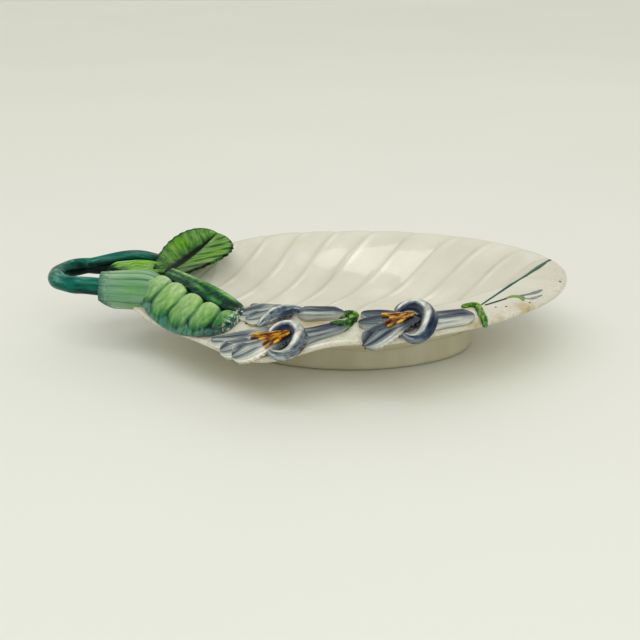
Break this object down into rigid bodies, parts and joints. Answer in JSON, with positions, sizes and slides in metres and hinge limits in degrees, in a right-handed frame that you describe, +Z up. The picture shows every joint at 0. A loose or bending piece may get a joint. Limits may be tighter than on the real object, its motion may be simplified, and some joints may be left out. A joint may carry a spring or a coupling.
{
  "type": "leaf dish",
  "caption": "Glazed ceramic leaf-shaped dish on an oval foot, with a looped stalk handle, leaf blades at the stalk and trumpet flowers laid on the lip.",
  "frame": {"origin": "middle of the footprint, on the surface that the foot stands on", "axes": "+X from the stalk to the tip of the leaf, +Y from the flowered lip to the far lip, +Z up"},
  "size_m": [0.3248, 0.1944, 0.0585],
  "materials": {
    "white_glaze": "glossy cream-white glaze over raised veins, with brown specks and wear at the lip",
    "foot_glaze": "glossy cream-white glaze",
    "stalk_glaze": "glossy dark teal-green glaze in streaks",
    "sheath_glaze": "glossy pale to mid green glaze, darker in the grooves between ribs",
    "leaf_glaze": "glossy brushed yellow-green glaze, dark green in the veins",
    "pale_leaf_glaze": "glossy light green glaze, dark at the fold",
    "petal_glaze": "glossy grey-lavender glaze in brushed stripes on white",
    "rolled_petal_glaze": "glossy grey-blue and white brushed glaze",
    "stamen_glaze": "glossy orange-yellow glaze",
    "sepal_glaze": "glossy green glaze"
  },
  "bodies": {
    "root": {"calyx_1": "sepal_glaze", "calyx_2": "sepal_glaze", "dish_bowl": "white_glaze", "flower_1_back_petal": "petal_glaze", "flower_1_front_petal": "petal_glaze", "flower_1_middle_petal": "petal_glaze", "flower_1_rolled_petal": "rolled_petal_glaze", "flower_1_stamens": "stamen_glaze", "flower_1_tube": "petal_glaze", "flower_2_back_petal": "petal_glaze", "flower_2_front_petal": "petal_glaze", "flower_2_middle_petal": "petal_glaze", "flower_2_rolled_petal": "rolled_petal_glaze", "flower_2_tube": "petal_glaze", "flower_3_back_petal": "petal_glaze", "flower_3_front_petal": "petal_glaze", "flower_3_middle_petal": "petal_glaze", "flower_3_rolled_petal": "rolled_petal_glaze", "flower_3_stamens": "stamen_glaze", "flower_3_tube": "petal_glaze", "folded_leaf": "leaf_glaze", "foot_ring": "foot_glaze", "small_leaf": "pale_leaf_glaze", "stem_handle": "stalk_glaze", "stem_sheath": "sheath_glaze", "upright_leaf": "leaf_glaze"}
  },
  "joints": []
}
